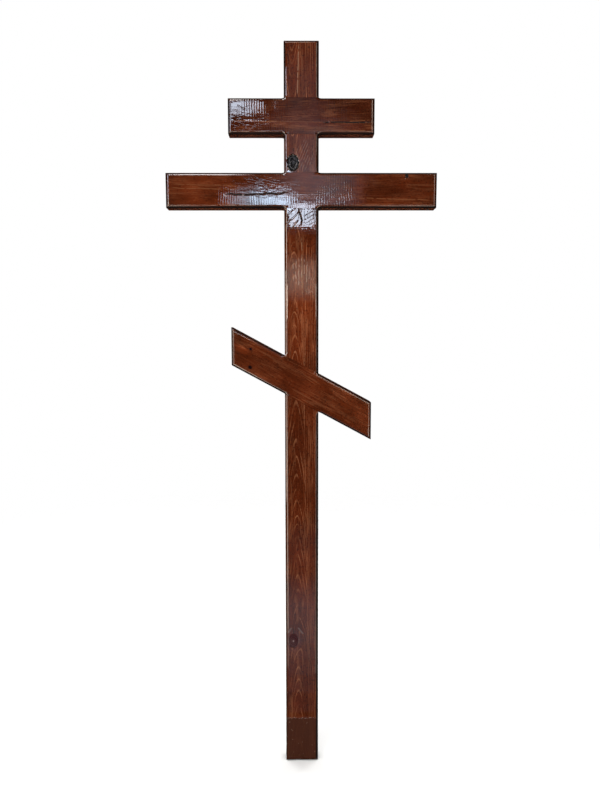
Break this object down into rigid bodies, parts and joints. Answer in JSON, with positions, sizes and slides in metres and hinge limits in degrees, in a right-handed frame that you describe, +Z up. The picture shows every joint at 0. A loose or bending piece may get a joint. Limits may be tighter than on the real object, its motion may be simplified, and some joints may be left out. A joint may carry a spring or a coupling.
{
  "type": "wooden grave cross",
  "caption": "Tall planed-pine grave cross: upright post, level crossbars and a slanted footbar, half-lapped flush, edges rounded over, gloss varnished.",
  "frame": {"origin": "middle of the post's flat foot end, the end that goes into the ground", "axes": "+Z up along the post, the front that carries the crossbars' unbroken faces towards -Y, +X to the viewer's right"},
  "size_m": [0.76, 0.047, 2.1],
  "materials": {
    "post_wood": "mahogany-stained pine with light latewood lines under gloss varnish, darker and matter at the ground end",
    "upper_bar_wood": "dark mahogany-stained pine under thick gloss varnish",
    "main_bar_wood": "mahogany-stained pine under thick gloss varnish",
    "footbar_wood": "mahogany-stained pine under gloss varnish"
  },
  "bodies": {
    "root": {"upright_post": "post_wood", "upper_crossbar": "upper_bar_wood", "main_crossbar": "main_bar_wood", "slanted_footbar": "footbar_wood"}
  },
  "joints": []
}
